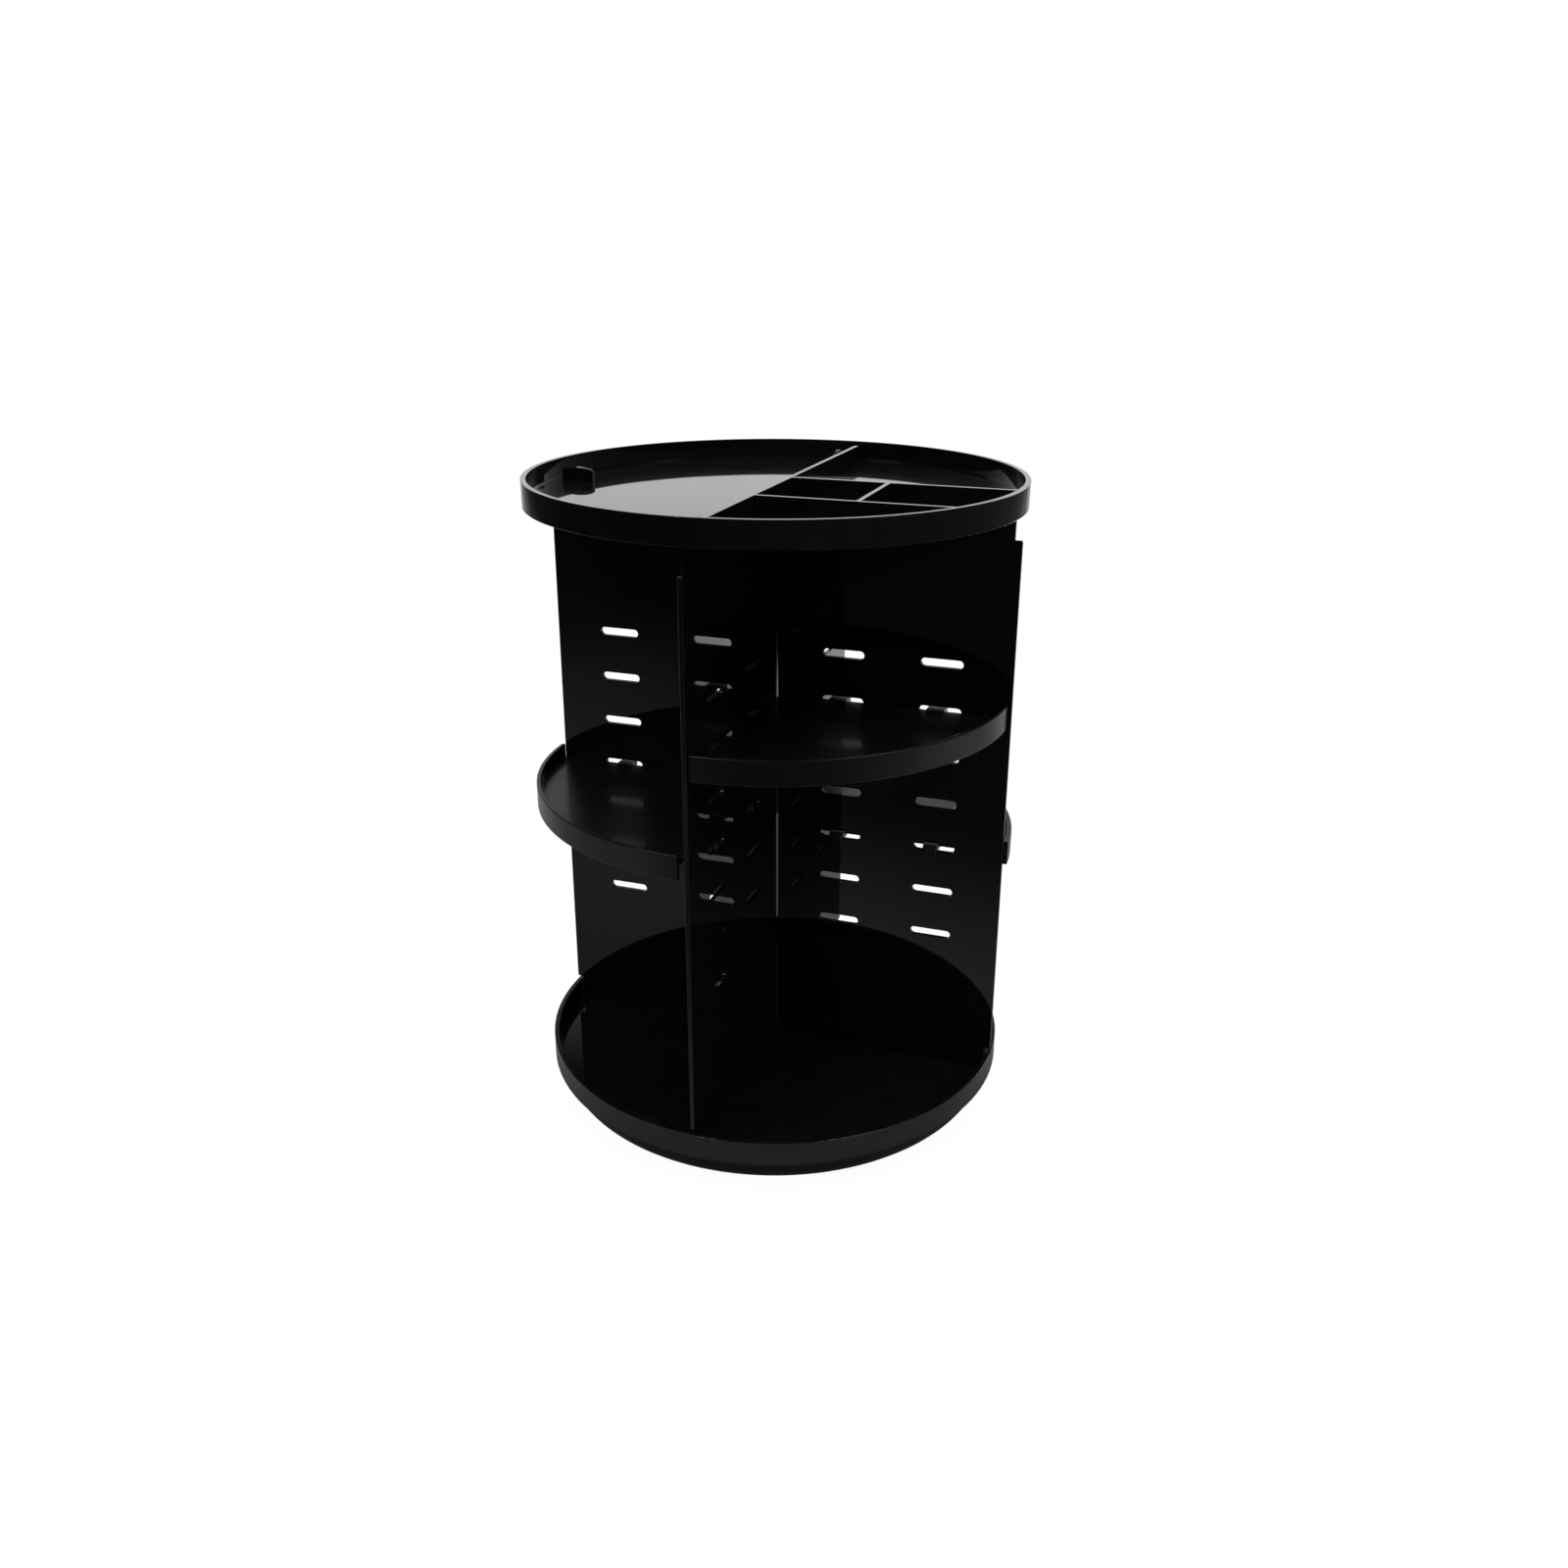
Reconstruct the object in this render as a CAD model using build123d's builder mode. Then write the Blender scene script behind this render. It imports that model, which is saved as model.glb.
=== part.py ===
from build123d import *
import os

os.makedirs("parts", exist_ok=True)

# Rotating organizer: a round base, and a carousel of two round trays joined by
# four slotted panels, with quarter-round shelves hooked into the slots.
# Millimetres. Z is up, z = 0 is the table, the spin axis is X = Y = 0.
# The right panel lies along +X, the back panel along +Y.

# ---- overall ----
TOTAL_H = 310.0
TRAY_R = 115.0
RIM_H = 12.0
RIM_WALL = 2.5
EDGE_R = 0.3
FLOOR_R = 1.0
FLOOR_CH = 0.8

# ---- base ----
PAD_H = 1.0
PAD_R = 6.0
PAD_PCD_R = 84.0
PAD_RECESS = 0.4
BASE_R = 111.0
BASE_TOP = 15.4
BASE_CURVE = 13.0
BASE_WALL = 2.2
BASE_FLOOR_TOP = 3.2

# ---- ball bearing under the carousel ----
BALL_R = 2.5
BALL_Z = 11.0
BALL_PCD_R = 44.0
BALL_COUNT = 12
RACE_R = 2.65
RACE_IN = 38.0
RACE_OUT = 50.0
RACE_LOWER_TOP = 9.6
RACE_UPPER_BOTTOM = 12.4
CAGE_Z0 = 9.8
CAGE_Z1 = 11.2

# ---- pivot ----
BOSS_R = 9.5
BOSS_TOP = 12.0
BOSS_BORE_R = 2.3
COUNTERBORE_R = 7.0
COUNTERBORE_TOP = 6.0
SCREW_R = 2.0
SCREW_HEAD_R = 4.0
SCREW_HEAD_Z0 = 2.0
SCREW_HEAD_Z1 = 4.8
SCREW_TIP = 16.2
WASHER_R = 6.4
WASHER_Z1 = 5.8
HUB_R = 8.0
HUB_BOTTOM = 12.2

# ---- trays ----
LOW_Z0 = 16.0
LOW_FLOOR_TOP = 18.5
TOP_Z0 = TOTAL_H - RIM_H
TOP_UNDER = 298.2
TOP_FLOOR_TOP = 300.6
DIV_T = 2.0
DIV_TOP = 308.8
DIV_LONG_X = 7.9
DIV_MID_Y = -2.7
DIV_FRONT_Y = -52.2
DIV_SHORT_X = 54.0

# ---- panels ----
PANEL_T = 2.0
PANEL_R = 114.6
PANEL_NARROW_R = 111.2
PANEL_Z0 = LOW_FLOOR_TOP
PANEL_Z1 = TOP_UNDER
# inner edges: the front and back panels meet at the axis; the right and left
# panels stand against their faces, a hairline off them lower down
MEET_R = 0.05
BESIDE_R = 1.05
BESIDE_LOW_R = 1.7
BESIDE_Z0 = 205.0
BESIDE_Z1 = 243.0
WIDE_Z0 = 30.1
WIDE_Z1 = 286.6
TAB_R = 100.0
TAB_W = 16.0
TAB_TOP = 307.2
TAB_SHOULDER = 305.9
TAB_BOTTOM = 16.2
TAB_CORNER = 1.6
TAB_GAP = 0.2

# ---- slots ----
SLOT_L = 20.0
SLOT_H = 4.0
SLOT_COLS = (34.2, 81.3)
SLOT_ROW0 = 227.8
SLOT_PITCH = 23.0
SLOT_ROWS = 7
# shallow round marks between the slots, on one face
MARK_R = 2.7
MARK_DEPTH = 0.12

# ---- shelves ----
SHELF_R = 113.0
SHELF_WALL = 2.2
SHELF_H = 11.7
SHELF_FLOOR_Z0 = 3.8
SHELF_FLOOR = 2.0
SHELF_FLOOR_SIDE = 3.4
SHELF_SIDE = 1.3
SHELF_CORNER = 8.0
SHELF_DROP = 4.9
SHELF_EDGE_R = 0.6
# the two straight sides hook at different places in a slot, so that two
# shelves at one level can share it: (distance past the slot's inner end, width)
TONGUE_SIDE_A = (4.2, 8.4)
TONGUE_SIDE_B = (1.5, 7.0)
TONGUE_ROOT = 2.1
TONGUE_REACH = 5.0
TONGUE_Z0 = 3.3
TONGUE_Z1 = 6.3

slot_rows = [SLOT_ROW0 - SLOT_PITCH * k for k in range(SLOT_ROWS)]

# ======================= base =======================
z_curve = PAD_H + BASE_CURVE
with BuildPart() as base_shell:
    with BuildSketch(Plane.XZ):
        with BuildLine():
            Polyline((0, PAD_H), (BASE_R - BASE_CURVE, PAD_H))
            CenterArc((BASE_R - BASE_CURVE, z_curve), BASE_CURVE, -90, 90)
            Polyline((BASE_R, z_curve), (BASE_R, BASE_TOP - 0.5), (BASE_R - 0.5, BASE_TOP),
                     (BASE_R - BASE_WALL, BASE_TOP), (BASE_R - BASE_WALL, z_curve))
            CenterArc((BASE_R - BASE_CURVE, z_curve), BASE_CURVE - BASE_WALL, 0, -90)
            Polyline((BASE_R - BASE_CURVE, BASE_FLOOR_TOP), (RACE_OUT, BASE_FLOOR_TOP),
                     (RACE_OUT, RACE_LOWER_TOP), (RACE_IN, RACE_LOWER_TOP),
                     (RACE_IN, BASE_FLOOR_TOP), (BOSS_R, BASE_FLOOR_TOP),
                     (BOSS_R, BOSS_TOP), (0, BOSS_TOP), (0, PAD_H))
        make_face()
    revolve(axis=Axis.Z)
    # ball race in the pedestal
    with BuildSketch(Plane.XZ):
        with Locations((BALL_PCD_R, BALL_Z)):
            Circle(RACE_R)
    revolve(axis=Axis.Z, mode=Mode.SUBTRACT)
    # pivot bore and counterbore from below
    with Locations((0, 0, PAD_H)):
        Cylinder(BOSS_BORE_R, BOSS_TOP, align=(Align.CENTER, Align.CENTER, Align.MIN), mode=Mode.SUBTRACT)
        Cylinder(COUNTERBORE_R, COUNTERBORE_TOP - PAD_H, align=(Align.CENTER, Align.CENTER, Align.MIN), mode=Mode.SUBTRACT)
    # pad recesses
    with BuildSketch(Plane.XY.offset(PAD_H)):
        with PolarLocations(PAD_PCD_R, 4, start_angle=45):
            Circle(PAD_R + 0.05)
    extrude(amount=PAD_RECESS, mode=Mode.SUBTRACT)
    # stiffening ribs between the pedestal and the outer wall
    with BuildSketch(Plane.XY.offset(BASE_FLOOR_TOP)):
        with PolarLocations(0.5 * (RACE_OUT + BASE_R - BASE_CURVE), 8, start_angle=22.5):
            Rectangle(BASE_R - BASE_CURVE - RACE_OUT + 1.0, 1.6)
    extrude(amount=5.0)
base_shell.part.label = "base_shell"
export_step(base_shell.part, "parts/base_shell.step")

with BuildPart() as base_pads:
    with BuildSketch(Plane.XY):
        with PolarLocations(PAD_PCD_R, 4, start_angle=45):
            Circle(PAD_R)
    extrude(amount=PAD_H + PAD_RECESS)
    chamfer(base_pads.edges().filter_by(GeomType.CIRCLE).group_by(Axis.Z)[0], 0.3)
base_pads.part.label = "base_pads"
export_step(base_pads.part, "parts/base_pads.step")

# ======================= ball bearing =======================
with BuildPart() as ball_cage:
    with BuildSketch(Plane.XY.offset(CAGE_Z0)):
        Circle(RACE_OUT - 0.6)
        Circle(RACE_IN + 0.6, mode=Mode.SUBTRACT)
        with PolarLocations(BALL_PCD_R, BALL_COUNT):
            Circle(BALL_R + 0.2, mode=Mode.SUBTRACT)
        with PolarLocations(BALL_PCD_R, BALL_COUNT, start_angle=180.0 / BALL_COUNT):
            SlotOverall(9.0, 3.0, rotation=90, mode=Mode.SUBTRACT)
    extrude(amount=CAGE_Z1 - CAGE_Z0)
ball_cage.part.label = "ball_cage"
export_step(ball_cage.part, "parts/ball_cage.step")

with BuildPart() as bearing_balls:
    with Locations(Plane.XY.offset(BALL_Z)):
        with PolarLocations(BALL_PCD_R, BALL_COUNT):
            Sphere(BALL_R)
bearing_balls.part.label = "bearing_balls"
export_step(bearing_balls.part, "parts/bearing_balls.step")

# ======================= pivot =======================
with BuildPart() as pivot_screw:
    with BuildSketch(Plane.XZ):
        with BuildLine():
            Polyline((0, SCREW_HEAD_Z0), (SCREW_HEAD_R - 0.6, SCREW_HEAD_Z0), (SCREW_HEAD_R, SCREW_HEAD_Z0 + 0.9),
                     (SCREW_HEAD_R, SCREW_HEAD_Z1), (SCREW_R, SCREW_HEAD_Z1), (SCREW_R, SCREW_TIP - 0.5),
                     (SCREW_R - 0.5, SCREW_TIP), (0, SCREW_TIP), (0, SCREW_HEAD_Z0))
        make_face()
    revolve(axis=Axis.Z)
    with BuildSketch(Plane.XY.offset(SCREW_HEAD_Z0)):
        RegularPolygon(1.7, 6)
    extrude(amount=1.6, mode=Mode.SUBTRACT)
pivot_screw.part.label = "pivot_screw"
export_step(pivot_screw.part, "parts/pivot_screw.step")

with BuildPart() as pivot_washer:
    with BuildSketch(Plane.XY.offset(SCREW_HEAD_Z1)):
        Circle(WASHER_R)
        Circle(SCREW_R + 0.1, mode=Mode.SUBTRACT)
    extrude(amount=WASHER_Z1 - SCREW_HEAD_Z1)
pivot_washer.part.label = "pivot_washer"
export_step(pivot_washer.part, "parts/pivot_washer.step")

# ======================= bottom tray =======================
low_top = LOW_Z0 + RIM_H
with BuildPart() as bottom_tray:
    with BuildSketch(Plane.XZ):
        with BuildLine():
            Polyline((0, HUB_BOTTOM), (HUB_R, HUB_BOTTOM), (HUB_R, LOW_Z0), (RACE_IN, LOW_Z0),
                     (RACE_IN, RACE_UPPER_BOTTOM), (RACE_OUT, RACE_UPPER_BOTTOM), (RACE_OUT, LOW_Z0),
                     (TRAY_R, LOW_Z0), (TRAY_R, low_top), (TRAY_R - RIM_WALL, low_top),
                     (TRAY_R - RIM_WALL, LOW_FLOOR_TOP), (0, LOW_FLOOR_TOP), (0, HUB_BOTTOM))
        make_face()
    revolve(axis=Axis.Z)
    # ball race in the ring under the floor
    with BuildSketch(Plane.XZ):
        with Locations((BALL_PCD_R, BALL_Z)):
            Circle(RACE_R)
    revolve(axis=Axis.Z, mode=Mode.SUBTRACT)
    # screw hole from below
    with BuildSketch(Plane.XY.offset(HUB_BOTTOM)):
        Circle(SCREW_R + 0.02)
    extrude(amount=SCREW_TIP + 0.2 - HUB_BOTTOM, mode=Mode.SUBTRACT)
    # slots for the panels' lower tabs
    with BuildSketch(Plane.XY.offset(LOW_FLOOR_TOP)):
        with PolarLocations(TAB_R, 4):
            Rectangle(TAB_W + 2 * TAB_GAP, PANEL_T + 2 * TAB_GAP)
    extrude(amount=-(LOW_FLOOR_TOP - LOW_Z0), mode=Mode.SUBTRACT)
    rim_out = bottom_tray.edges().filter_by(GeomType.CIRCLE).filter_by(
        lambda e: abs(e.radius - TRAY_R) < 0.01)
    fillet(rim_out, EDGE_R)
    rim_in = bottom_tray.edges().filter_by(GeomType.CIRCLE).filter_by(
        lambda e: abs(e.radius - (TRAY_R - RIM_WALL)) < 0.01)
    fillet(rim_in.sort_by(Axis.Z)[-1], EDGE_R)
    rim_in = bottom_tray.edges().filter_by(GeomType.CIRCLE).filter_by(
        lambda e: abs(e.radius - (TRAY_R - RIM_WALL)) < 0.01)
    fillet(rim_in.sort_by(Axis.Z)[0], FLOOR_R)
bottom_tray.part.label = "bottom_tray"
export_step(bottom_tray.part, "parts/bottom_tray.step")

# ======================= top tray =======================
with BuildPart() as top_tray:
    with BuildSketch(Plane.XZ):
        with BuildLine():
            Polyline((0, TOP_UNDER), (TRAY_R - RIM_WALL, TOP_UNDER), (TRAY_R - RIM_WALL, TOP_Z0),
                     (TRAY_R, TOP_Z0), (TRAY_R, TOTAL_H), (TRAY_R - RIM_WALL, TOTAL_H),
                     (TRAY_R - RIM_WALL, TOP_FLOOR_TOP), (0, TOP_FLOOR_TOP), (0, TOP_UNDER))
        make_face()
    revolve(axis=Axis.Z)
    fillet(top_tray.edges().filter_by(GeomType.CIRCLE).filter_by(
        lambda e: abs(e.radius - TRAY_R) < 0.01), EDGE_R)
    fillet(top_tray.edges().filter_by(GeomType.CIRCLE).filter_by(
        lambda e: abs(e.radius - (TRAY_R - RIM_WALL)) < 0.01 and e.center().Z > TOTAL_H - 0.1), EDGE_R)
    chamfer(top_tray.edges().filter_by(GeomType.CIRCLE).filter_by(
        lambda e: abs(e.radius - (TRAY_R - RIM_WALL)) < 0.01 and abs(e.center().Z - TOP_FLOOR_TOP) < 0.1), FLOOR_CH)
    # dividers, moulded with the floor and running into the rim wall
    with BuildSketch(Plane.XY.offset(TOP_FLOOR_TOP - 1.0)):
        with Locations((DIV_LONG_X, 0)):
            Rectangle(DIV_T, 2 * TRAY_R)
        with Locations((DIV_LONG_X + 0.5 * TRAY_R, DIV_MID_Y)):
            Rectangle(TRAY_R, DIV_T)
        with Locations((DIV_LONG_X + 0.5 * TRAY_R, DIV_FRONT_Y)):
            Rectangle(TRAY_R, DIV_T)
        with Locations((DIV_SHORT_X, 0.5 * (DIV_MID_Y + DIV_FRONT_Y))):
            Rectangle(DIV_T, DIV_MID_Y - DIV_FRONT_Y)
        Circle(TRAY_R - 0.5 * RIM_WALL, mode=Mode.INTERSECT)
    extrude(amount=DIV_TOP - TOP_FLOOR_TOP + 1.0)
    # slots for the panels' upper tabs
    with BuildSketch(Plane.XY.offset(TOP_FLOOR_TOP)):
        with PolarLocations(TAB_R, 4):
            Rectangle(TAB_W + 2 * TAB_GAP, PANEL_T + 2 * TAB_GAP)
    extrude(amount=-(TOP_FLOOR_TOP - TOP_UNDER), mode=Mode.SUBTRACT)
top_tray.part.label = "top_tray"
export_step(top_tray.part, "parts/top_tray.step")

# ======================= panels =======================
panel_outline = [
    (TAB_R - 0.5 * TAB_W, PANEL_Z0), (TAB_R - 0.5 * TAB_W, TAB_BOTTOM),
    (TAB_R + 0.5 * TAB_W, TAB_BOTTOM), (TAB_R + 0.5 * TAB_W, PANEL_Z0), (PANEL_NARROW_R, PANEL_Z0),
    (PANEL_NARROW_R, WIDE_Z0), (PANEL_R, WIDE_Z0), (PANEL_R, WIDE_Z1), (PANEL_NARROW_R, WIDE_Z1),
    (PANEL_NARROW_R, PANEL_Z1), (TAB_R + 0.5 * TAB_W, PANEL_Z1), (TAB_R + 0.5 * TAB_W, TAB_SHOULDER),
]
# the upper tab's top is a low arch between the two shoulders
panel_outline_end = [(TAB_R - 0.5 * TAB_W, TAB_SHOULDER), (TAB_R - 0.5 * TAB_W, PANEL_Z1)]
inner_meeting = [(MEET_R, PANEL_Z1), (MEET_R, PANEL_Z0)]
inner_beside = [(BESIDE_R, PANEL_Z1), (BESIDE_R, BESIDE_Z1), (BESIDE_LOW_R, BESIDE_Z0), (BESIDE_LOW_R, PANEL_Z0)]
# name, turn about Z, inner edge from the top down
panel_places = (
    ("panel_right", 0, inner_beside),
    ("panel_back", 90, inner_meeting),
    ("panel_left", 180, inner_beside),
    ("panel_front", 270, inner_meeting),
)
for name, angle, inner_edge in panel_places:
    with BuildPart() as panel:
        with BuildSketch(Plane.XZ) as outline:
            with BuildLine():
                Polyline(*panel_outline)
                ThreePointArc(panel_outline[-1], (TAB_R, TAB_TOP), panel_outline_end[0])
                Polyline(*panel_outline_end, *inner_edge, panel_outline[0])
            make_face()
            fillet(outline.vertices().filter_by(lambda v: abs(v.Y - TAB_SHOULDER) < 0.01), TAB_CORNER)
            fillet(outline.vertices().filter_by(lambda v: abs(v.X - PANEL_R) < 0.01), 1.0)
            for zrow in slot_rows:
                for rcol in SLOT_COLS:
                    with Locations((rcol, zrow)):
                        SlotOverall(SLOT_L, SLOT_H, mode=Mode.SUBTRACT)
        extrude(amount=0.5 * PANEL_T, both=True)
        fillet(panel.edges().filter_by(Axis.Z).filter_by(
            lambda e: abs(e.center().X - PANEL_R) < 0.01), 0.35)
        with BuildSketch(Plane.XZ.offset(0.5 * PANEL_T)):
            for zrow in slot_rows[:-1]:
                for rcol in SLOT_COLS:
                    with Locations((rcol, zrow - 0.5 * SLOT_PITCH)):
                        Circle(MARK_R)
        extrude(amount=-MARK_DEPTH, mode=Mode.SUBTRACT)
    panel_part = Rot(0, 0, angle) * panel.part
    panel_part.label = name
    export_step(panel_part, "parts/" + name + ".step")

# ======================= shelves =======================
# Drawn in the front-right quarter (x > 0, y < 0) with the floor's underside at z = 0.
with BuildPart() as shelf:
    with BuildSketch(Plane.XY.offset(SHELF_FLOOR_Z0)):
        with BuildLine():
            Polyline((SHELF_FLOOR_SIDE, -SHELF_CORNER), (SHELF_FLOOR_SIDE, -130), (130, -130), (130, -SHELF_FLOOR_SIDE),
                     (SHELF_CORNER, -SHELF_FLOOR_SIDE), (SHELF_FLOOR_SIDE, -SHELF_CORNER))
        make_face()
        Circle(SHELF_R - 0.5 * SHELF_WALL, mode=Mode.INTERSECT)
    extrude(amount=SHELF_FLOOR)
    with BuildSketch(Plane.XY):
        with Locations((SHELF_SIDE, -SHELF_SIDE)):
            Rectangle(130, 130, align=(Align.MIN, Align.MAX))
        Circle(SHELF_R, mode=Mode.INTERSECT)
        Circle(SHELF_R - SHELF_WALL, mode=Mode.SUBTRACT)
    extrude(amount=SHELF_H)
    # rim edges
    fillet(shelf.edges().filter_by(GeomType.CIRCLE).filter_by(
        lambda e: e.radius > SHELF_R - SHELF_WALL - 0.01 and abs(e.center().Z - SHELF_H) < 0.01), SHELF_EDGE_R)
    fillet(shelf.edges().filter_by(GeomType.CIRCLE).filter_by(
        lambda e: abs(e.radius - SHELF_R) < 0.01 and e.center().Z < 0.01), SHELF_EDGE_R)
    # tongues at the two straight sides, which pass through the slots
    for rcol in SLOT_COLS:
        ra = rcol - 0.5 * SLOT_L + TONGUE_SIDE_A[0]
        rb = rcol - 0.5 * SLOT_L + TONGUE_SIDE_B[0]
        with BuildSketch(Plane.XY.offset(TONGUE_Z0)) as tongues:
            with Locations((ra, -SHELF_FLOOR_SIDE - TONGUE_ROOT)):
                Rectangle(TONGUE_SIDE_A[1], SHELF_FLOOR_SIDE + TONGUE_ROOT + TONGUE_REACH, align=(Align.MIN, Align.MIN))
            with Locations((SHELF_FLOOR_SIDE + TONGUE_ROOT, -rb)):
                Rectangle(SHELF_FLOOR_SIDE + TONGUE_ROOT + TONGUE_REACH, TONGUE_SIDE_B[1], align=(Align.MAX, Align.MAX))
            fillet(tongues.vertices().filter_by(
                lambda v: v.Y > TONGUE_REACH - 0.01 or v.X < -TONGUE_REACH + 0.01), 1.5)
        extrude(amount=TONGUE_Z1 - TONGUE_Z0)

# name, turn about Z, slot row, play taken up outward in X and Y
shelf_places = (
    ("shelf_front_right", 0, 1, 0.0, 0.0),
    ("shelf_front_left", -90, 3, -3.6, 0.0),
    ("shelf_back_right", 90, 4, 3.6, 0.0),
)
for name, angle, row, dx, dy in shelf_places:
    shelf_part = Pos(dx, dy, slot_rows[row] - SHELF_DROP) * Rot(0, 0, angle) * shelf.part
    shelf_part.label = name
    export_step(shelf_part, "parts/" + name + ".step")
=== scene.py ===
import bpy
import math
from mathutils import Matrix, Vector

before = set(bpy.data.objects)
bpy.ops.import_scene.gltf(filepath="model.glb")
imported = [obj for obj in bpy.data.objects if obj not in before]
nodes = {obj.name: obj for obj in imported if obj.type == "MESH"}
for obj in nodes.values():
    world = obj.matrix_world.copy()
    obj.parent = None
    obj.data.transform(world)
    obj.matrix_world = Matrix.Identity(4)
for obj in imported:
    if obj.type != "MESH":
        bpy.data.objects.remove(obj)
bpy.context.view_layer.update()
scene = bpy.context.scene

# ---------------------------------------------------------------- camera
CAM_POS = Vector((0.214442, -0.616021, 0.411256))
CAM_RIGHT = Vector((0.946098, 0.323863, 0.003369))
CAM_UP = Vector((-0.120331, 0.341828, 0.932027))
CAM_FWD = Vector((-0.300697, 0.882194, -0.362374))
cam_data = bpy.data.cameras.new("camera")
cam_data.sensor_fit = "HORIZONTAL"
cam_data.sensor_width = 36.0
cam_data.lens = 32.4768
cam_data.clip_start = 0.01
cam_data.clip_end = 50.0
cam_data.dof.use_dof = False
cam = bpy.data.objects.new("camera", cam_data)
scene.collection.objects.link(cam)
m = Matrix((
    (CAM_RIGHT.x, CAM_UP.x, -CAM_FWD.x, CAM_POS.x),
    (CAM_RIGHT.y, CAM_UP.y, -CAM_FWD.y, CAM_POS.y),
    (CAM_RIGHT.z, CAM_UP.z, -CAM_FWD.z, CAM_POS.z),
    (0, 0, 0, 1),
))
cam.matrix_world = m
scene.camera = cam

scene.view_settings.view_transform = "Standard"
scene.view_settings.look = "None"
scene.view_settings.exposure = 0.0
scene.view_settings.gamma = 1.0

# horizontal direction straight away from the camera, in the object's frame
BACK = Vector((-0.3289, 0.9444, 0.0)).normalized()
SIDE = Vector((0.9444, 0.3289, 0.0)).normalized()


# ---------------------------------------------------------------- node helpers
class Tree:
    """Small helper to write node trees in few lines."""

    def __init__(self, tree):
        self.t = tree
        for n in list(tree.nodes):
            tree.nodes.remove(n)

    def add(self, kind, **props):
        n = self.t.nodes.new(kind)
        for k, v in props.items():
            setattr(n, k, v)
        return n

    def link(self, a, b):
        self.t.links.new(a, b)

    def put(self, sock, v):
        if hasattr(v, "is_output") or hasattr(v, "links"):
            self.link(v, sock)
        else:
            sock.default_value = v

    def math(self, op, a, b=None, c=None, clamp=False):
        n = self.add("ShaderNodeMath", operation=op)
        n.use_clamp = clamp
        for i, v in enumerate((a, b, c)):
            if v is not None:
                self.put(n.inputs[i], v)
        return n.outputs[0]

    def vmath(self, op, a, b=None):
        n = self.add("ShaderNodeVectorMath", operation=op)
        self.put(n.inputs[0], a)
        if b is not None:
            self.put(n.inputs[1], b)
        return n.outputs["Value"] if op in ("DOT_PRODUCT", "LENGTH", "DISTANCE") else n.outputs[0]

    def ramp(self, fac, stops, interp="LINEAR"):
        n = self.add("ShaderNodeValToRGB")
        r = n.color_ramp
        r.interpolation = interp
        while len(r.elements) > len(stops):
            r.elements.remove(r.elements[-1])
        while len(r.elements) < len(stops):
            r.elements.new(1.0)
        for e, (p, c) in zip(r.elements, stops):
            e.position = p
            e.color = (c[0], c[1], c[2], 1.0) if isinstance(c, (tuple, list)) else (c, c, c, 1.0)
        self.put(n.inputs[0], fac)
        return n.outputs[0]

    def maprange(self, v, a, b, c, d, smooth=False):
        n = self.add("ShaderNodeMapRange")
        n.clamp = True
        if smooth:
            n.interpolation_type = "SMOOTHSTEP"
        self.put(n.inputs[0], v)
        for i, x in enumerate((a, b, c, d)):
            n.inputs[1 + i].default_value = x
        return n.outputs[0]

    def noise(self, vec, scale, detail=3.0, rough=0.5):
        n = self.add("ShaderNodeTexNoise")
        n.inputs["Scale"].default_value = scale
        n.inputs["Detail"].default_value = detail
        n.inputs["Roughness"].default_value = rough
        self.put(n.inputs["Vector"], vec)
        return n.outputs[0]


def new_material(name):
    mat = bpy.data.materials.new(name)
    mat.use_nodes = True
    return mat, Tree(mat.node_tree)


# ---------------------------------------------------------------- world and stage
world = bpy.data.worlds.new("studio")
world.use_nodes = True
scene.world = world
w = Tree(world.node_tree)
wout = w.add("ShaderNodeOutputWorld")
tc = w.add("ShaderNodeTexCoord")
direction = tc.outputs["Generated"]
depth = w.vmath("DOT_PRODUCT", direction, tuple(BACK))
sep = w.add("ShaderNodeSeparateXYZ")
w.link(direction, sep.inputs[0])
# white sweep behind the object, a dimmer room all round
wall = w.ramp(w.maprange(depth, -1.0, 1.0, 0.0, 1.0),
              [(0.0, 0.06), (0.35, 0.10), (0.6, 0.14), (0.78, 0.22), (0.87, 0.50), (0.94, 1.02), (1.0, 1.06)])
# the room darkens towards the ceiling
high = w.ramp(sep.outputs[2], [(0.0, 1.0), (0.20, 1.0), (0.30, 0.40), (0.50, 0.33), (0.53, 0.06), (0.548, 0.015), (1.0, 0.012)])
# soft boxes high on the right and on the left
across_dir = w.vmath("DOT_PRODUCT", direction, tuple(SIDE))
box_side = w.maprange(w.math("ABSOLUTE", across_dir), 0.26, 0.42, 0.0, 1.0, smooth=True)
box_low = w.maprange(sep.outputs[2], 0.62, 0.70, 0.0, 1.0, smooth=True)
box_high = w.maprange(sep.outputs[2], 0.84, 0.93, 1.0, 0.0, smooth=True)
box_front = w.maprange(depth, -0.35, 0.20, 1.0, 0.0, smooth=True)
boxes = w.math("MULTIPLY", w.math("MULTIPLY", box_side, box_low), w.math("MULTIPLY", box_high, box_front))
amount = w.math("ADD", w.math("MULTIPLY", wall, high), w.math("MULTIPLY", boxes, 3.0))
bg_light = w.add("ShaderNodeBackground")
bg_light.inputs[0].default_value = (0.955, 0.975, 1.0, 1.0)
w.link(amount, bg_light.inputs[1])
bg_seen = w.add("ShaderNodeBackground")
bg_seen.inputs[0].default_value = (1.0, 1.0, 1.0, 1.0)
bg_seen.inputs[1].default_value = 1.0
lp = w.add("ShaderNodeLightPath")
mix = w.add("ShaderNodeMixShader")
w.link(lp.outputs["Is Camera Ray"], mix.inputs[0])
w.link(bg_light.outputs[0], mix.inputs[1])
w.link(bg_seen.outputs[0], mix.inputs[2])
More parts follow.
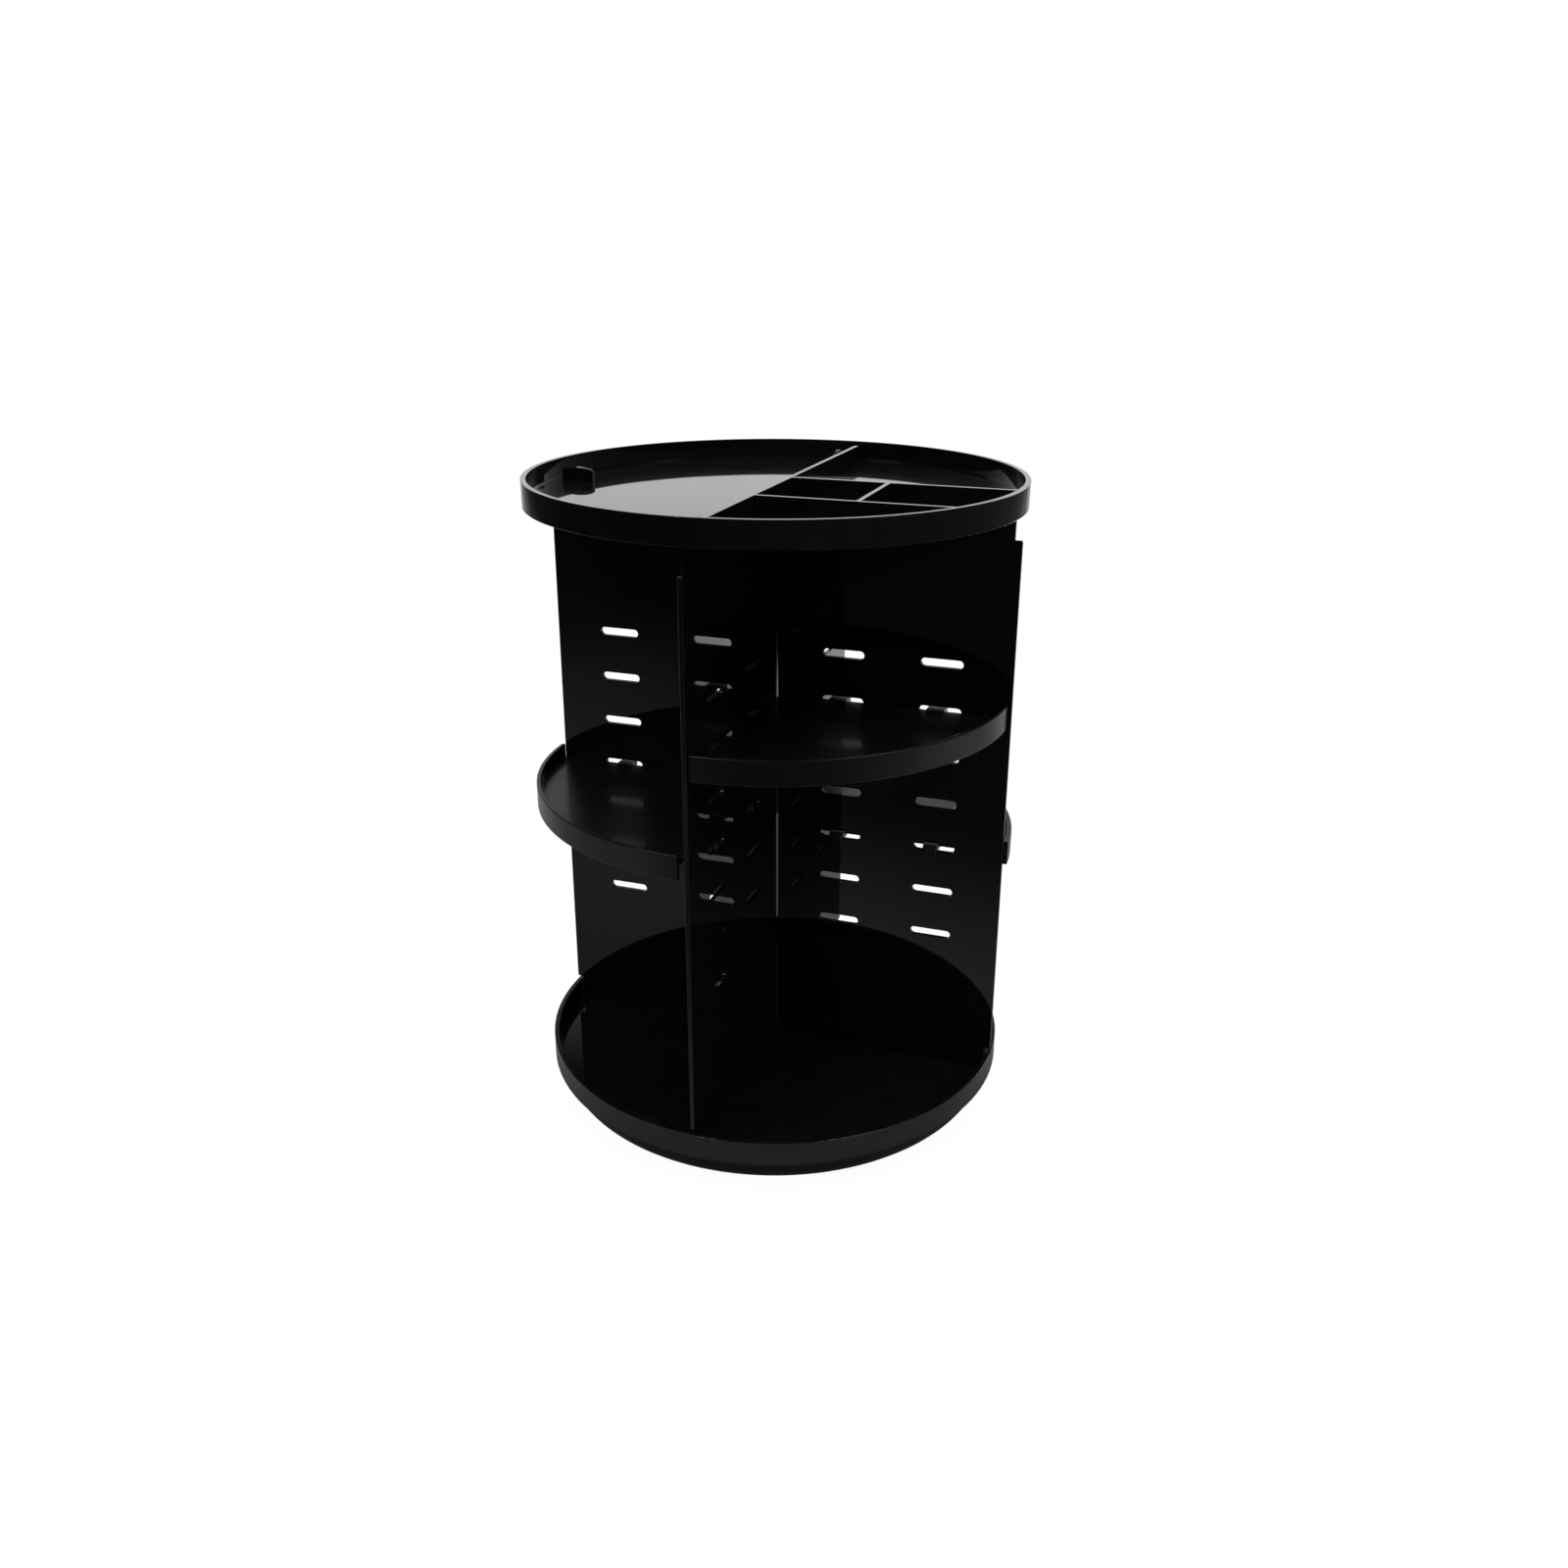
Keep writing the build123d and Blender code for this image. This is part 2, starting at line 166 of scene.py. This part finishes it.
w.link(mix.outputs[0], wout.inputs[0])

# pale floor: a large flat sheet
floor_mesh = bpy.data.meshes.new("floor")
S = 6.0
floor_mesh.from_pydata([(-S, -S, 0), (S, -S, 0), (S, S, 0), (-S, S, 0)], [], [(0, 1, 2, 3)])
floor = bpy.data.objects.new("floor", floor_mesh)
floor.location.z = -0.0002
scene.collection.objects.link(floor)
fmat, f = new_material("pale_floor")
fout = f.add("ShaderNodeOutputMaterial")
geo = f.add("ShaderNodeNewGeometry")
fdepth = f.vmath("DOT_PRODUCT", geo.outputs["Position"], tuple(BACK))
fside = f.vmath("DOT_PRODUCT", geo.outputs["Position"], tuple(SIDE))
# what the gloss reflects is painted light: for reflection rays the floor glows as a grey, lit table top near the
# object, the white sweep behind it, and a dark room in front and far out to the sides
fside_abs = f.math("ABSOLUTE", fside)
run = f.maprange(fdepth, -0.7, 0.9, 0.0, 1.0)
run_mid = f.ramp(run, [(0.0, 0.01), (0.10, 0.012), (0.219, 0.012), (0.25, 0.04), (0.281, 0.11), (0.3125, 0.20),
                       (0.35, 0.31), (0.375, 0.26), (0.4375, 0.19), (0.5, 0.22), (0.5625, 0.27), (0.66, 0.36),
                       (0.72, 0.45), (0.78, 0.80), (0.82, 0.95), (1.0, 0.98)])
run_side = f.ramp(run, [(0.0, 0.012), (0.08, 0.05), (0.125, 0.09), (0.23, 0.20), (0.2875, 0.31), (0.33, 0.26),
                        (0.375, 0.22), (0.4375, 0.19), (0.5, 0.23), (0.5625, 0.29), (0.66, 0.36), (0.72, 0.45),
                        (0.78, 0.80), (0.82, 0.95), (1.0, 0.98)])
mid = f.maprange(fside_abs, 0.15, 0.38, 1.0, 0.0, smooth=True)
along = f.math("ADD", f.math("MULTIPLY", run_mid, mid),
               f.math("MULTIPLY", run_side, f.math("SUBTRACT", 1.0, mid)))
across = f.ramp(f.maprange(fside_abs, 0.0, 2.0, 0.0, 1.0),
                [(0.0, 1.0), (0.30, 1.0), (0.36, 0.55), (0.5, 0.23), (0.61, 0.06), (0.72, 0.015), (1.0, 0.01)])
room = f.ramp(f.maprange(fside, -2.0, 2.0, 0.0, 1.0),
              [(0.0, 0.01), (0.25, 0.012), (0.5, 0.035), (0.75, 0.06), (1.0, 0.075)])
# painted pool of light on the floor, off to the right of the object
painted_light_patch = f.math("MULTIPLY", f.maprange(f.math("ABSOLUTE", f.math("ADD", fdepth, 0.05)), 0.0, 0.30, 1.0, 0.0, smooth=True),
               f.maprange(f.math("ABSOLUTE", f.math("SUBTRACT", fside, 0.68)), 0.0, 0.36, 1.0, 0.0, smooth=True))
painted_floor_glow = f.math("ADD", f.math("ADD", f.math("MULTIPLY", along, across), room), f.math("MULTIPLY", painted_light_patch, 0.28))
# painted contact shadow: the floor's glow is darkened close round the object's foot, where the object keeps the
# light off
flat = f.math("SQRT", f.math("ADD", f.math("MULTIPLY", fdepth, fdepth), f.math("MULTIPLY", fside, fside)))
painted_contact_shadow = f.maprange(flat, 0.104, 0.142, 0.15, 1.0, smooth=True)
# the floor glows with this painted light only for reflection rays; camera rays see the even white floor
em_ref = f.add("ShaderNodeEmission")
em_ref.inputs[0].default_value = (0.965, 0.975, 1.0, 1.0)
f.link(f.math("MULTIPLY", painted_floor_glow, painted_contact_shadow), em_ref.inputs[1])
diff = f.add("ShaderNodeBsdfDiffuse")
diff.inputs[0].default_value = (0.12, 0.12, 0.12, 1.0)
em_seen = f.add("ShaderNodeEmission")
em_seen.inputs[0].default_value = (1.0, 1.0, 1.0, 1.0)
em_seen.inputs[1].default_value = 0.965
seen = f.add("ShaderNodeAddShader")
f.link(diff.outputs[0], seen.inputs[0])
f.link(em_seen.outputs[0], seen.inputs[1])
flp = f.add("ShaderNodeLightPath")
fmix = f.add("ShaderNodeMixShader")
f.link(flp.outputs["Is Camera Ray"], fmix.inputs[0])
f.link(em_ref.outputs[0], fmix.inputs[1])
f.link(seen.outputs[0], fmix.inputs[2])
f.link(fmix.outputs[0], fout.inputs[0])
floor_mesh.materials.append(fmat)


# ---------------------------------------------------------------- materials
def gloss_black(name, gloss=0.02, haze=0.32, haze_level=0.002, coat_weight=1.0, coat_ior=1.46,
                wave=0.0001, grain=0.0, colour=(0.0082, 0.0075, 0.0066)):
    """Injection-moulded black plastic: a polished skin over a slightly hazy body, with faint flow
    waviness, cloudy patches in its polish and a fine surface grain."""
    mat, t = new_material(name)
    out = t.add("ShaderNodeOutputMaterial")
    b = t.add("ShaderNodeBsdfPrincipled")
    t.link(b.outputs[0], out.inputs[0])
    obj = t.add("ShaderNodeTexCoord").outputs["Object"]
    big = t.noise(obj, 14.0, 2.0)
    mid = t.noise(obj, 90.0, 3.0)
    fine = t.noise(obj, 2600.0, 2.0)
    dark = tuple(c * 0.8 for c in colour)
    lite = tuple(c * 1.25 for c in colour)
    t.link(t.ramp(mid, [(0.3, dark), (0.7, lite)]), b.inputs["Base Color"])
    cloud = t.math("ADD", t.math("MULTIPLY", big, 0.6), t.math("MULTIPLY", mid, 0.4))
    t.link(t.maprange(cloud, 0.35, 0.65, haze * 0.96, haze * 1.04), b.inputs["Roughness"])
    b.inputs["IOR"].default_value = 1.5
    b.inputs["Specular IOR Level"].default_value = haze_level
    b.inputs["Coat Weight"].default_value = coat_weight
    b.inputs["Coat Roughness"].default_value = gloss
    b.inputs["Coat IOR"].default_value = coat_ior
    h = t.math("ADD", t.math("MULTIPLY", big, wave), t.math("MULTIPLY", fine, grain))
    bump = t.add("ShaderNodeBump")
    bump.inputs["Strength"].default_value = 1.0
    bump.inputs["Distance"].default_value = 1.0
    t.link(h, bump.inputs["Height"])
    t.link(bump.outputs[0], b.inputs["Normal"])
    t.link(bump.outputs[0], b.inputs["Coat Normal"])
    return mat


MAT_TRAY = gloss_black("black_tray_gloss", gloss=0.03, haze=0.26, haze_level=0.002)
MAT_PANEL = gloss_black("black_panel_gloss", gloss=0.03, haze=0.26, haze_level=0.002)
MAT_SHELF = gloss_black("black_shelf_satin", gloss=0.09, haze=0.34, haze_level=0.34, coat_weight=0.35)
MAT_BASE = gloss_black("black_base_gloss", gloss=0.10, haze=0.35, haze_level=0.01, colour=(0.0024, 0.0022, 0.002))


def rubber(name):
    mat, t = new_material(name)
    out = t.add("ShaderNodeOutputMaterial")
    b = t.add("ShaderNodeBsdfPrincipled")
    t.link(b.outputs[0], out.inputs[0])
    obj = t.add("ShaderNodeTexCoord").outputs["Object"]
    n = t.noise(obj, 900.0, 4.0)
    t.link(t.ramp(n, [(0.3, (0.018, 0.018, 0.018)), (0.7, (0.035, 0.035, 0.034))]), b.inputs["Base Color"])
    t.link(t.maprange(n, 0.3, 0.7, 0.75, 0.92), b.inputs["Roughness"])
    bump = t.add("ShaderNodeBump")
    bump.inputs["Strength"].default_value = 0.6
    bump.inputs["Distance"].default_value = 0.0002
    t.link(n, bump.inputs["Height"])
    t.link(bump.outputs[0], b.inputs["Normal"])
    return mat


def steel(name, brushed):
    mat, t = new_material(name)
    out = t.add("ShaderNodeOutputMaterial")
    b = t.add("ShaderNodeBsdfPrincipled")
    t.link(b.outputs[0], out.inputs[0])
    b.inputs["Metallic"].default_value = 1.0
    obj = t.add("ShaderNodeTexCoord").outputs["Object"]
    n = t.noise(obj, 700.0 if brushed else 300.0, 3.0)
    t.link(t.ramp(n, [(0.3, (0.50, 0.50, 0.51)), (0.7, (0.66, 0.66, 0.67))]), b.inputs["Base Color"])
    t.link(t.maprange(n, 0.3, 0.7, 0.12, 0.28 if brushed else 0.16), b.inputs["Roughness"])
    return mat


def cage_plastic(name):
    mat, t = new_material(name)
    out = t.add("ShaderNodeOutputMaterial")
    b = t.add("ShaderNodeBsdfPrincipled")
    t.link(b.outputs[0], out.inputs[0])
    obj = t.add("ShaderNodeTexCoord").outputs["Object"]
    n = t.noise(obj, 120.0, 3.0)
    t.link(t.ramp(n, [(0.3, (0.62, 0.61, 0.56)), (0.7, (0.72, 0.71, 0.66))]), b.inputs["Base Color"])
    t.link(t.maprange(n, 0.3, 0.7, 0.42, 0.56), b.inputs["Roughness"])
    return mat


MAT_RUBBER = rubber("grey_rubber")
MAT_STEEL = steel("bright_steel", False)
MAT_SCREW = steel("turned_steel", True)
MAT_CAGE = cage_plastic("off_white_bearing_plastic")

assign = {
    "base_shell": MAT_BASE, "base_pads": MAT_RUBBER, "ball_cage": MAT_CAGE, "bearing_balls": MAT_STEEL,
    "pivot_screw": MAT_SCREW, "pivot_washer": MAT_SCREW, "bottom_tray": MAT_TRAY,
    "panel_right": MAT_PANEL, "panel_left": MAT_PANEL, "panel_front": MAT_PANEL, "panel_back": MAT_PANEL,
    "top_tray": MAT_TRAY, "shelf_front_right": MAT_SHELF, "shelf_front_left": MAT_SHELF,
    "shelf_back_right": MAT_SHELF,
}
for name, mat in assign.items():
    ob = nodes[name]
    if not ob.material_slots:
        ob.data.materials.append(mat)
    for s in ob.material_slots:
        s.material = mat

# ---------------------------------------------------------------- soft studio lights
def area(name, loc, target, size, power, colour=(1, 1, 1)):
    d = bpy.data.lights.new(name, "AREA")
    d.shape = "RECTANGLE"
    d.size, d.size_y = size
    d.energy = power
    d.color = colour
    o = bpy.data.objects.new(name, d)
    scene.collection.objects.link(o)
    o.location = loc
    o.rotation_euler = (Vector(target) - Vector(loc)).to_track_quat("-Z", "Y").to_euler()
    o.visible_glossy = False
    return o


area("top_soft", (0.0, 0.3, 1.6), (0, 0, 0.1), (2.0, 2.0), 11.0)
